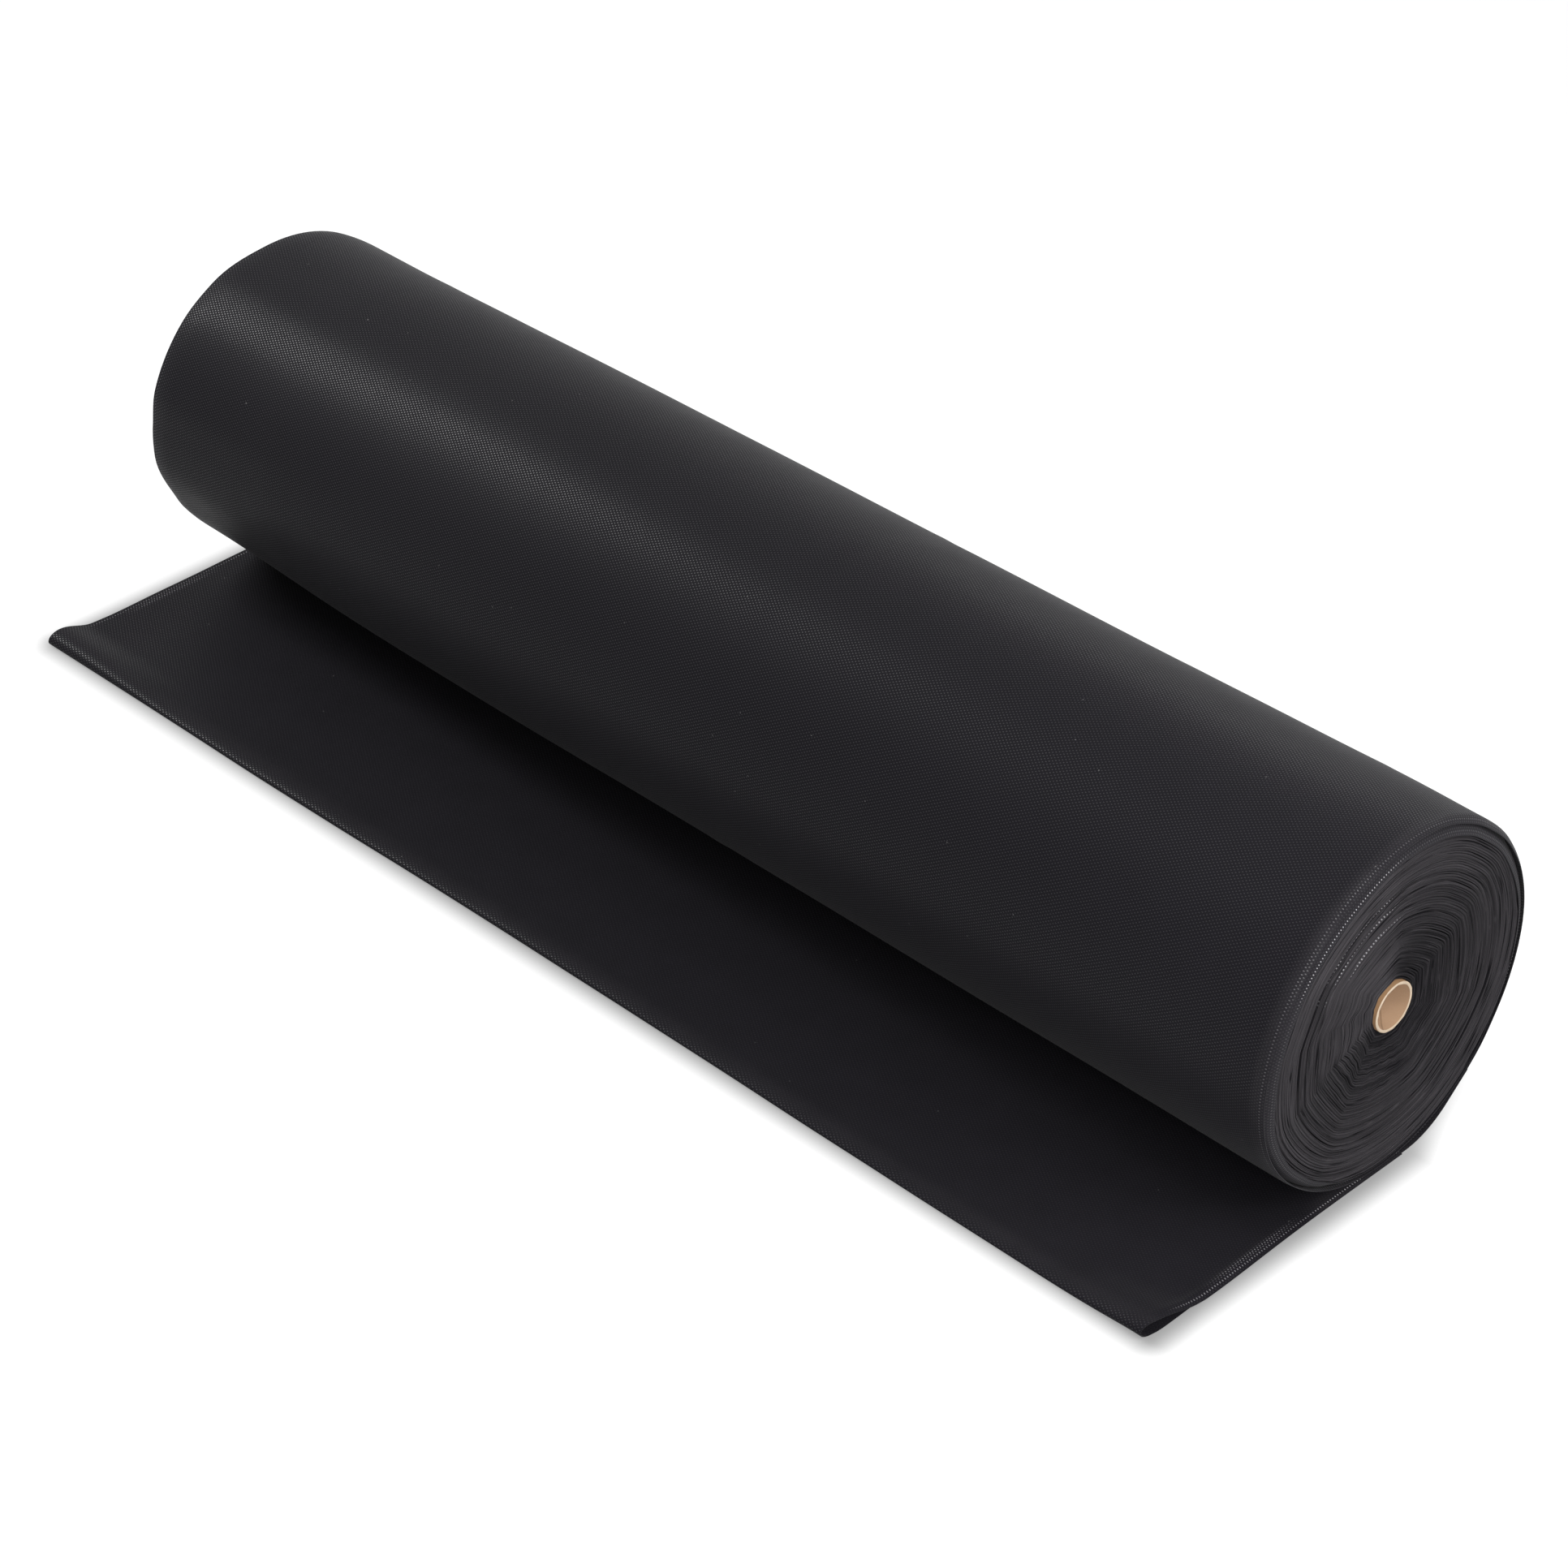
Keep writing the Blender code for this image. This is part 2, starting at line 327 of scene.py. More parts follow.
def paper_finish():
    """Brown paper with a screw seam and fibres, tan inside, pale layered rims."""
    material, tree, shader = new_finish("core_paper")
    sheet = tree.node("ShaderNodeUVMap", {"uv_map": "sheet"})
    along, around, _ = sheet.split()
    place = tree.node("ShaderNodeTexCoord", None, None, output=3)
    x, y, z = place.split()
    radius = ((y - AXIS_Y) ** 2 + (z - AXIS_Z) ** 2) ** 0.5
    circle = 2 * math.pi * CORE_RADIUS
    screw = (along / CORE_SEAM_PITCH + around / circle).fraction()
    seam = 1 - ((screw - 0.5).size() * (CORE_SEAM_PITCH / CORE_SEAM_WIDTH)).rise(0.0, 1.0)
    fibres = sheet.stretch((3.0, 1.0, 1.0)).noise(900.0, 3.0)
    clouds = place.noise(60.0, 3.0)
    middle = CORE_RADIUS - CORE_WALL / 2
    outside = (radius - middle).rise(-0.0002, 0.0006)
    wall = outside.blend(CORE_INSIDE, CORE_OUTSIDE)
    rim = (x.size() - (CORE_HALF_LENGTH - CORE_RAGGED * 2 - CORE_EDGE / 2)).rise(0.0, CORE_EDGE / 3)
    layers = (radius * (2 * math.pi / CORE_LAYER)).cosine() * 0.5 + 0.5
    rim_colour = (layers * 0.35).blend(CORE_RIM, CORE_RIM_GLUE)
    base = rim.blend(wall, rim_colour)
    mottled = ((clouds - 0.5) * 0.5 + (fibres - 0.5) * 0.35 + 0.35).blend(base, CORE_STAIN)
    lined = (seam * (1 - rim) * 0.5).blend(mottled, CORE_SEAM_COLOUR)
    height = fibres * 0.5 - seam * (1 - rim) + layers * rim * 0.6
    connect(shader, Base_Color=lined, Roughness=0.75 + fibres * 0.2, Normal=height.bump(0.0001, 0.7))
    connect(shader, Specular_IOR_Level=0.3)
    return material


core_tube = new_piece(core_mesh(), paper_finish())
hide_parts("paper_core")
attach(core_tube, "core")

# Outer wrap
# The two outer turns of the sheet, black polypropylene fibres bonded in small embossed points.
# They start low at the back of the roll, go over the top and under the front, and end under
# themselves. They lie loose, with gentle swells and hoop creases, and turn in over the near end.
winding_low, winding_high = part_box("winding")
laid_low, laid_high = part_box("laid_sheet")
SHEET_HALF_WIDTH = laid_high.x
SHEET_THICKNESS = 0.00045
LOOSE_PITCH = 0.0016
LOOSE_TURNS = 3
PACKED_RADIUS = winding_high.z - AXIS_Z
ROLL_RADIUS = PACKED_RADIUS + LOOSE_PITCH
FAR_TAPER = 0.0040
LEAVING = math.radians(-48.0)
FALL_START_SHARE = 0.38
FALL_LENGTH_SHARE = 0.50
WRAP_TURNS = 2.30
WRAP_STEPS_PER_TURN = 132
FAR_CURL = 0.0013
FAR_CURL_WIDTH = 0.016
FAR_CURL_TURNS = 6.0
FAR_RIM_SPREAD = 0.13
NEAR_RIM_SPREAD = 0.05
TURN_STEP = 0.04
NEAR_STRETCH = 0.12
EDGE_DOTS_FROM = 0.0022
EDGE_DOTS_TO = 0.0038
BEND_DOTS_FROM = 0.0057
BEND_DOTS_TO = 0.0095
HIGH_FRONT = math.radians(57.0)
FIRST_TURN = 2 * math.pi * ROLL_RADIUS
POINT_PITCH_ACROSS = 0.0035
POINT_PITCH_ALONG = 0.00233
SHEET_COLOUR = (0.0104, 0.0095, 0.0128)
POINT_COLOUR = (0.0114, 0.0104, 0.0136)
BEND_HIGHLIGHT_COLOUR = (0.027, 0.025, 0.029)
SELVEDGE_GLINT_COLOUR = (0.34, 0.33, 0.35)
LINT_COLOUR = (0.35, 0.34, 0.34)
# The roll's changes along it start this far round from the back, and are full here, in degrees
LOW_BACK = -20.0
HIGH_BACK = 60.0


def across_places(middle_steps):
    """Places across the sheet, even in the middle and closer at both edges."""
    edge = np.array([0.0, 0.0008, 0.002, 0.0035, 0.005, 0.0067, 0.0085, 0.0107, 0.0135, 0.0165])
    middle = np.linspace(-SHEET_HALF_WIDTH + 0.02, SHEET_HALF_WIDTH - 0.02, middle_steps)
    return np.concatenate([-SHEET_HALF_WIDTH + edge, middle, (SHEET_HALF_WIDTH - edge)[::-1]])


def packed_pitch(turns):
    """How much each packed turn takes of the radius, down to the core."""
    room = ROLL_RADIUS - LOOSE_TURNS * LOOSE_PITCH - CORE_RADIUS
    return room / (turns - LOOSE_TURNS)


def turn_radius(turn, pitch):
    """Outer radius after a number of turns from where the sheet leaves the roll.

    The loose turns fall by the loose pitch on the front side of the roll only, so the back and
    the underside stay round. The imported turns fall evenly.
    """
    whole = np.floor(turn)
    share = turn - whole
    loose = np.clip(LOOSE_TURNS - whole, 0.0, 1.0)
    fall = loose * smooth_step((share - FALL_START_SHARE) / FALL_LENGTH_SHARE) + (1.0 - loose) * share
    before = np.minimum(whole, LOOSE_TURNS) * LOOSE_PITCH
    before += np.maximum(whole - LOOSE_TURNS, 0.0) * pitch
    return ROLL_RADIUS - before - fall * np.where(loose > 0, LOOSE_PITCH, pitch)


def far_share(x):
    """0 at the near end of the roll, 1 at the far end."""
    return (SHEET_HALF_WIDTH - x) / (2 * SHEET_HALF_WIDTH)


def eased(place, table):
    """Smooth steps between the places and values of a table, level beyond its ends."""
    places, values = np.array(table).T
    place = np.clip(place, places[0], places[-1])
    step = np.clip(np.searchsorted(places, place, side="right") - 1, 0, len(places) - 2)
    share = (place - places[step]) / (places[step + 1] - places[step])
    return values[step] + (values[step + 1] - values[step]) * smooth_step(share)


# Radial change of the far rim, in millimetres by degrees round the axis
FAR_RIM = (
    (60.0, 0.0),
    (95.0, -0.3),
    (119.0, 3.3),
    (135.0, 4.6),
    (159.0, 4.8),
    (172.0, 2.2),
    (183.0, 1.6),
    (207.0, -4.0),
    (233.0, -7.0),
    (262.0, -3.0),
    (285.0, 0.0),
)
# The same for the near rim
NEAR_RIM = (
    (20.0, 0.0),
    (36.0, -0.7),
    (50.0, -1.5),
    (62.0, -0.5),
    (75.0, 0.0),
)
# Radial change of the whole roll, in millimetres by metres along it
LENGTH_PROFILE = (
    (-0.50, -0.4),
    (-0.42, -1.2),
    (-0.34, -0.8),
    (-0.16, 0.6),
    (0.36, 0.6),
    (0.475, 1.7),
)


def rim_change(x, angle):
    """Radial change at the ends. The far one is bulged high at the front and pressed in below."""
    degrees = np.mod(np.degrees(angle), 360.0)
    far = eased(degrees, FAR_RIM) * np.exp(-(((x + SHEET_HALF_WIDTH) / FAR_RIM_SPREAD) ** 2))
    near = eased(degrees, NEAR_RIM) * np.exp(-(((x - SHEET_HALF_WIDTH) / NEAR_RIM_SPREAD) ** 2))
    return (far + near) / 1000


def on_roll(x, radius, angle):
    """Places on the roll: it is slimmer at the far end, where its axis lies lower by as much.

    The changes along the roll and round its rims fade towards the core. The first leaves out
    the underside, which rests on the floor, and the low back, where the sheet slides under
    its own outer end.
    """
    slim = FAR_TAPER * far_share(x)
    degrees = np.mod(np.degrees(angle) + 90.0, 360.0) - 90.0
    off_floor = smooth_step((np.sin(angle) + 0.7) / 0.5)
    off_floor *= smooth_step((degrees - LOW_BACK) / (HIGH_BACK - LOW_BACK))
    change = eased(x, LENGTH_PROFILE) / 1000 * off_floor + rim_change(x, angle)
    change = change * smooth_step((radius - CORE_RADIUS) / (ROLL_RADIUS - CORE_RADIUS))
    y = AXIS_Y + (radius - slim + change) * np.cos(angle)
    z = AXIS_Z - slim + (radius - slim + change) * np.sin(angle)
    return np.stack([x, y, z], axis=-1)


# Long swells of the skin: height, waves along the roll, waves round it, start
LONG_SWELLS = (
    (0.00022, 9.0, 2.0, 0.6),
    (0.00016, 17.0, -3.0, 2.1),
    (0.00010, 31.0, 5.0, 4.0),
)
# Hoop creases: place along the roll, lean, height, width
HOOP_CREASES = (
    (0.043, -0.012, 0.00030, 0.0040),
    (0.056, -0.012, -0.00022, 0.0060),
    (0.243, -0.020, 0.00016, 0.0050),
    (-0.120, 0.015, 0.00012, 0.0080),
    (-0.390, 0.010, 0.00018, 0.0120),
    (0.400, -0.010, 0.00012, 0.0070),
)


def swell(x, angle):
    """Radial waves of the loose skin: long swells and hoop creases.

    They die out low at the back, where the sheet slides under its own outer end.
    """
    long_waves = np.zeros_like(x + angle)
    for height, along, around, start in LONG_SWELLS:
        long_waves += height * np.cos(along * x + around * angle + start)
    creases = np.zeros_like(long_waves)
    for place, lean, depth, width in HOOP_CREASES:
        run = x - place - lean * (angle - math.radians(130.0))
        creases += depth * np.exp(-((run / width) ** 2)) * (0.6 + 0.4 * np.cos(3.0 * angle + place * 40.0))
    open_side = smooth_step((np.cos(angle - math.radians(125.0)) + 0.55) / 0.5)
    return (long_waves + creases) * open_side


# How far inside the sheet's half width the near edge of the outer turns is once it is turned
# in. The third value holds for all the turns below.
NEAR_INSETS = (0.0005, 0.0010, 0.0075)
# The least width that bends in, and the most turn-in for each metre of that width
LEAST_BENT_WIDTH = 0.008
TURN_IN_SHARE = 0.62
# How far that edge is turned in towards the axis, in millimetres by degrees round the axis
OUTER_TURN_IN = (
    (-48.0, 0.3),
    (-44.0, 0.6),
    (-28.0, 2.2),
    (0.0, 2.3),
    (40.0, 3.9),
    (60.0, 4.0),
    (85.0, 1.5),
    (110.0, 2.6),
    (135.0, 2.8),
    (160.0, 2.3),
    (190.0, 1.0),
    (212.0, 0.5),
    (312.0, 0.3),
)
SECOND_TURN_IN = (
    (-48.0, 0.5),
    (-25.0, 3.5),
    (0.0, 4.9),
    (30.0, 8.9),
    (60.0, 9.8),
    (90.0, 9.4),
    (120.0, 12.2),
    (150.0, 12.0),
    (180.0, 10.9),
    (200.0, 8.3),
    (225.0, 6.9),
    (240.0, 5.0),
    (252.0, 2.1),
    (265.0, 0.8),
    (312.0, 0.5),
)


def far_curl(turn):
    """How far the far edge of the sheet curls in: full on the outer turn, less under it."""
    return FAR_CURL * (1.0 - smooth_step((turn - 0.8) / FAR_CURL_TURNS))


def bend_radius(turn_in, width):
    """Radius of the arc in which this width of sheet must bend to be turned in by so much."""
    bends = np.linspace(0.01, 1.60, 160)
    turned = (1.0 - np.cos(bends)) / bends
    return width / np.interp(turn_in / width, turned, bends)


def near_edge(turn):
    """Turn-in, bending width and inset of the near edge, from the turn on the outer wrap."""
    degrees = np.mod(turn, 1.0) * 360.0 + math.degrees(LEAVING)
    second = smooth_step((turn - 1.0) / TURN_STEP)
    third = smooth_step((turn - 2.0) / TURN_STEP)
    turn_in = eased(degrees, OUTER_TURN_IN) * (1.0 - second)
    turn_in = (turn_in + eased(degrees, SECOND_TURN_IN) * second) * (1.0 - third) / 1000 + 0.0002
    shares = (1.0 - second, second * (1.0 - third), third)
    inset = sum(share * value for share, value in zip(shares, NEAR_INSETS))
    return turn_in, np.maximum(LEAST_BENT_WIDTH, turn_in / TURN_IN_SHARE), inset


def sheet_mesh(name, points, places):
    """Closed sheet round a grid of middle points, given as rows by columns by three.

    Its skins lie half a thickness to each side, square to the grid's two directions. Each ring
    goes across on one skin and comes back on the other.
    """
    square = np.cross(np.gradient(points, axis=1), np.gradient(points, axis=0))
    half = square / np.linalg.norm(square, axis=-1, keepdims=True) * SHEET_THICKNESS / 2
    rings = np.concatenate([points + half, (points - half)[:, ::-1]], axis=1)
    spots = np.concatenate([places, places[:, ::-1], places[:, :1]], axis=1)
    return surface(name, rings, spots)


def wrap_mesh():
    """Middle of the sheet's thickness, from its outer end inwards, by turns and by width.

    The near edge turns in along an arc, and the stretch before it moves along by as much as the
    arc needs. The far edge curls in by the square of the way over its last millimetres.
    """
    turn = np.linspace(0.0, WRAP_TURNS, int(WRAP_TURNS * WRAP_STEPS_PER_TURN) + 1)[:, None]
    across = across_places(104)[None, :]
    angle = LEAVING + 2 * math.pi * turn
    turn_in, width, inset = near_edge(turn)
    arc = bend_radius(turn_in, width)
    arc_start = SHEET_HALF_WIDTH - inset - arc * np.sin(width / arc)
    shift = arc_start - (SHEET_HALF_WIDTH - width)
    before = smooth_step((across - SHEET_HALF_WIDTH + NEAR_STRETCH) / (NEAR_STRETCH - width))
    bent = np.maximum(across - (SHEET_HALF_WIDTH - width), 0.0) / arc
    x = np.where(bent > 0, arc_start + arc * np.sin(bent), across + shift * before)
    far = np.clip(1.0 - (SHEET_HALF_WIDTH + across) / FAR_CURL_WIDTH, 0.0, 1.0)
    radius = turn_radius(turn, 0.0) - SHEET_THICKNESS / 2 + swell(across, angle)
    radius = radius - arc * (1.0 - np.cos(bent)) - far_curl(turn) * far**2
    points = on_roll(x, radius, angle + 0 * x)
    along = ROLL_RADIUS * 2 * math.pi * turn + 0 * x
    return sheet_mesh("outer_wrap", points, np.stack([along, across + 0 * turn], axis=-1))


def front_share(tree, high, low_cosine, high_cosine):
    """1 on the roll's front at this angle over level, and 0 far from it, by the cosines given."""
    place = tree.node("ShaderNodeTexCoord", None, None, output=3)
    _, y, z = place.split()
    radius = ((AXIS_Y - y) ** 2 + (z - AXIS_Z) ** 2) ** 0.5
    towards = (AXIS_Y - y) * math.cos(high) + (z - AXIS_Z) * math.sin(high)
    return (towards / radius).rise(low_cosine, high_cosine)


def nonwoven_finish():
    """Black spun fibres with pressed points in a lozenge pattern.

    The points are where cosines across and along the sheet are both near 1, or both near -1.
    They are film-smooth, so the coat makes them catch the light. Their glints are also painted in as
    pale colour: in a row beside each edge of the sheet, and in rows further in where the laid near
    edge is bent. The painted row is dull on the outermost turn, and bright on the second one at the
    high front. Where the sheet is bent, painted highlight makes it paler: at the near edge of the
    turns, and on the slope of the folded end.
    """
    material, tree, shader = new_finish("black_fabric")
    sheet = tree.node("ShaderNodeUVMap", {"uv_map": "sheet"})
    along, across, _ = sheet.split()
    wave_across = (across * (2 * math.pi / POINT_PITCH_ACROSS)).cosine()
    wave_along = (along * (2 * math.pi / POINT_PITCH_ALONG)).cosine()
    pressed = (wave_across * wave_along).rise(0.35, 0.80)
    inside = SHEET_HALF_WIDTH - across.size()
    row = inside.rise(EDGE_DOTS_FROM - 0.0004, EDGE_DOTS_FROM)
    row = row * (1 - inside.rise(EDGE_DOTS_TO, EDGE_DOTS_TO + 0.0004))
    laid_bend = along.rise(-0.115, -0.085) * (1 - along.rise(-0.05, -0.015))
    more = inside.rise(EDGE_DOTS_TO, BEND_DOTS_FROM) * (1 - inside.rise(BEND_DOTS_FROM, BEND_DOTS_TO))
    outermost = along.rise(0.07, 0.09) * (1 - along.rise(FIRST_TURN - 0.02, FIRST_TURN))
    second = along.rise(FIRST_TURN - 0.02, FIRST_TURN)
    high_front = front_share(tree, HIGH_FRONT, 0.86, 0.95)
    loop = 1 - along.rise(-0.172, -0.160)
    # Painted glints: the pressed points are pale in rows beside the edges and on the bent near edge of the
    # laid sheet, dull on the outermost turn, and bright on the second turn only at the high front.
    painted_glint_row = row * (1 - outermost * 0.75) * (1 - second * (1 - high_front) * 0.85)
    painted_glint_row = painted_glint_row * (0.55 + along.rise(-0.02, 0.0) * 0.45)
    painted_glint_row = painted_glint_row.larger(more * laid_bend * 0.75) * along.rise(-0.150, -0.130)
    # Painted highlight: the sheet is paler where it is bent, at the near edge of the turns and on the
    # slope of the fold.
    turned = 1 - (SHEET_HALF_WIDTH - across).rise(0.005, 0.013)
    turned = turned * along.rise(-0.02, 0.0) + (1 - along.rise(-0.165, -0.150)) * (1 - loop) * 0.7
    fibres = sheet.stretch((1.0, 0.45, 1.0)).noise(1500.0, 3.0)
    clouds = sheet.noise(38.0, 3.0)
    lint = sheet.noise(300.0, 0.0).rise(0.90, 0.92)
    dark = tuple(0.55 * part for part in SHEET_COLOUR)
    tone = (fibres * 0.7 + clouds * 0.5 - 0.1).blend(dark, turned.blend(SHEET_COLOUR, BEND_HIGHLIGHT_COLOUR))
    dotted = (pressed * (0.6 + painted_glint_row * 0.4)).blend(tone, painted_glint_row.blend(POINT_COLOUR, SELVEDGE_GLINT_COLOUR))
    base = (lint * 0.25).blend(dotted, LINT_COLOUR)
    rough = 0.60 + (clouds - 0.5) * 0.12 + (fibres - 0.5) * 0.2 - pressed * 0.1
    height = fibres * 0.5 - pressed * 0.9
    connect(shader, Base_Color=base, Roughness=rough, Normal=height.bump(0.00010, 0.6))
    connect(shader, Coat_Weight=pressed * 0.35 + 0.006, Coat_Roughness=0.36, Coat_IOR=1.6)
    connect(shader, Specular_IOR_Level=0.05, Sheen_Weight=0.04)
    return material


black_nonwoven = nonwoven_finish()
outer_wrap = new_piece(wrap_mesh(), black_nonwoven)
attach(outer_wrap, "roll")

# Wound turns
# All the turns under the outer wrap, as one unbroken strip that winds in to the core. Each
# turn stands for a few of the real ones, which the material draws on its edge. At the near end
# they are crumpled towards the core, and the outermost lie behind the turned-in second turn.
TURNS = 66
STEPS_PER_TURN = 84
MIDDLE_PLACES = (-0.36, -0.22, 0.36)
EDGE_ROUND = 0.0004
NEAR_DISH = 0.0046
FAR_DISH = 0.0050
POCKET = 0.0004
RIM_CLEARANCE = 0.0012
CORNERS = (-60.0, -15.0, 38.0, 100.0, 150.0, 172.0, 203.0, 240.0, 300.0)
CORNER_DEPTH = 0.0038
CORNER_TWIST = 12.0
LOW_SIDE = math.radians(292.0)
LEFT_SIDE = math.radians(215.0)
RIPPLE_DEPTH = 0.0006
EDGE_JITTER = 0.00060
LEAST_GAP = 0.00008
WIDE_GAP = 0.00060
CORE_SEAT_GAP = 0.0004
PLIES_PER_TURN = 4.0
EDGE_DEPTH = 0.2
EDGE_COLOUR = (0.055, 0.051, 0.056)
EDGE_SHADOW_COLOUR = (0.0066, 0.0061, 0.0074)
EDGE_GLINT_COLOUR = (0.36, 0.35, 0.37)
DOT_ROW_RADII = (0.0705, 0.0825, 0.0910)
# Direction of the front where painted light makes the end face paler near the core
PAINTED_LIGHT_FRONT = math.radians(35.0)


def crumple(share, angle):
    """Radial waves of the turns near the core, from their share of the way in.

    Flats between eight uneven corners, as the square of the way from the middle of each flat,
    and short ripples on the lower side. Both grow inwards, and ease off at the tube.
    """
    degrees = np.mod(np.degrees(angle) + CORNER_TWIST * share - CORNERS[0], 360.0) + CORNERS[0]
    flat = np.mod(np.interp(degrees, CORNERS, np.arange(len(CORNERS))), 1.0)
    corners = (2.0 * flat - 1.0) ** 2 - 1.0 / 3.0
    low_side = smooth_step((np.cos(angle - LOW_SIDE) - 0.45) / 0.4)
    left_side = smooth_step((np.cos(angle - LEFT_SIDE) - 0.75) / 0.2)
    ripples = low_side * np.sin(27.0 * angle + 9.0 * share + 1.5 * np.sin(3.0 * angle))
    ripples += 0.5 * left_side * np.sin(22.0 * angle - 5.0 * share)
    grow = np.clip(share / 0.70, 0.0, 1.0)
    ease = 1.0 - 0.75 * smooth_step((share - 0.80) / 0.20)
    tight = smooth_step((share - 0.48) / 0.22)
    return grow * ease * CORNER_DEPTH * corners + tight * ease * RIPPLE_DEPTH * ripples


def rim_inset(radius, turn):
    """How far inside the sheet's half width the turns stay, to clear the turned-in second turn.

    Outside its edge they follow its arc, and just inside it they leave a groove.
    """
    share = np.mod(turn, 1.0)
    second = turn_radius(1.0 + share, 0.0)
    turn_in, width, inset = near_edge(1.0 + np.clip(share, TURN_STEP, 1.0 - 1e-9))
    arc = bend_radius(turn_in, width)
    drop = np.clip(second - radius, 0.0, turn_in)
    behind = arc * (np.sin(width / arc) - np.sin(np.arccos(1.0 - drop / arc)))
    edge_radius = second - turn_in
    groove = smooth_step((radius - edge_radius + RIM_CLEARANCE) / RIM_CLEARANCE)
    return (inset + behind + RIM_CLEARANCE) * groove


def wound_mesh():
    """Rings of points along the strip: far edge, outer skin, near edge, inner skin.

    The inner skin is the outer skin of the next turn, moved out by a gap. The gap wanders, so
    that dark lines open and close between the turns. Each turn's edge stands a little in or out
    of its neighbours'.
    """
    pitch = packed_pitch(TURNS)
    start = WRAP_TURNS - 0.03
    turn = start + np.arange(int((TURNS - start) * STEPS_PER_TURN) + 1) / STEPS_PER_TURN
    angle = LEAVING + 2 * math.pi * turn
    gap = LEAST_GAP + WIDE_GAP * smooth_step((wander(turn, 0.45, 11) - 0.05) / 0.7)
    gap += 0.4 * WIDE_GAP * smooth_step((wander(turn, 0.13, 12) - 0.5) / 0.5)
    gap = np.minimum(gap, 0.5 * pitch)
    outer_skin = turn_radius(turn, pitch)
    share = np.clip((ROLL_RADIUS - outer_skin) / (ROLL_RADIUS - CORE_RADIUS), 0.0, 1.0)
    single = 1.0 - smooth_step((turn - LOOSE_TURNS + 0.6) / 0.5)
    jitter = EDGE_JITTER * (wander(turn, 0.37, 21) + 0.5 * wander(turn, 0.09, 22))
    above = 0.5 + 0.5 * np.cos(angle - math.radians(75.0))
    near_inset = 1.5 * EDGE_JITTER + NEAR_DISH * share**2 - jitter
    edge_x = {
        "near": SHEET_HALF_WIDTH - np.maximum(near_inset, rim_inset(outer_skin, turn)),
        "far": -SHEET_HALF_WIDTH + 1.5 * EDGE_JITTER + FAR_DISH * share**2 + jitter,
    }

    def skin(later, side):
        """Radius of the outer skin this many turns later, before its edge curls."""
        radius = turn_radius(turn + later, pitch)
        if side == "far":
            return radius
        inwards = np.clip((ROLL_RADIUS - radius) / (ROLL_RADIUS - CORE_RADIUS), 0.0, 1.0)
        pocket = POCKET * (0.5 + above) * inwards**4
        return radius + crumple(inwards, angle) + pocket

    outside = []
    inside = []
    for side, sign in (("far", -1.0), ("near", 1.0)):
        inner = np.maximum(skin(1.0, side) + gap, CORE_RADIUS + CORE_SEAT_GAP)
        outer = np.maximum(skin(0.0, side), inner + SHEET_THICKNESS)
        inner = single * (outer - SHEET_THICKNESS) + (1.0 - single) * inner
        far = side == "far"
        outer_edge = outer - far_curl(turn) * far
        inner_edge = inner - far_curl(turn + 1.0 - single) * far
        inner_edge = np.minimum(inner_edge, outer_edge - SHEET_THICKNESS)
        bevel = np.minimum(EDGE_ROUND, (outer_edge - inner_edge) * 0.4)
        x = edge_x[side]
        back = x - sign * FAR_CURL_WIDTH
        outer_end = [(x, outer_edge - bevel), (x - sign * bevel, outer_edge), (back, outer)]
        inner_end = [(x, inner_edge + bevel), (x - sign * bevel, inner_edge), (back, inner)]
        if side == "far":
            outside += outer_end + [(place + 0 * turn, outer) for place in MIDDLE_PLACES]
            inside += inner_end + [(place + 0 * turn, inner) for place in MIDDLE_PLACES]
        else:
            outside += outer_end[::-1]
            inside += inner_end[::-1]
    rings = outside + inside[::-1]
    points = np.stack([on_roll(x, radius, angle) for x, radius in rings], axis=1)
    depth = np.zeros(len(rings) + 1)
    depth[len(outside):-1] = 1.0
    depth[[0, len(outside) - 1, -1]] = EDGE_DEPTH
    depth[[len(outside), -2]] = 1.0 - EDGE_DEPTH
    places = np.empty((len(turn), len(depth), 2))
    places[..., 0] = np.cumsum(outer_skin)[:, None] * 2 * math.pi / STEPS_PER_TURN
    places[..., 1] = turn[:, None] + depth
    length = float(places[-1, 0, 0] - places[0, 0, 0])
    return surface("wound_turns", points, places), length


